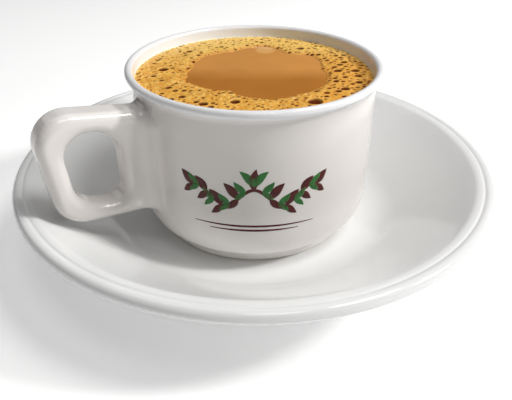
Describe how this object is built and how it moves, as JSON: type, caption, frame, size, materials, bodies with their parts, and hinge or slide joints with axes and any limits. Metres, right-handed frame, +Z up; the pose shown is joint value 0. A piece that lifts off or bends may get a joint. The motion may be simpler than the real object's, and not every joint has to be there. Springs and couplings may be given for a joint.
{
  "type": "cup of milk tea on a saucer",
  "caption": "White glazed cup of frothy milk tea with a squared loop handle, standing in the well of its round saucer.",
  "frame": {"origin": "centre of the saucer's foot ring, on the surface that it stands on", "axes": "+Z up along the common axis of cup and saucer, -X towards the cup's handle"},
  "size_m": [0.149, 0.149, 0.0574],
  "materials": {
    "saucer_glaze": "gloss glaze",
    "cup_glaze": "gloss glaze",
    "tea": "milky tea, glossy liquid surface",
    "tea_froth": "fine bubbly foam"
  },
  "bodies": {
    "root": {"saucer": "saucer_glaze", "cup": "cup_glaze", "chai": "tea", "froth": "tea_froth"}
  },
  "joints": []
}
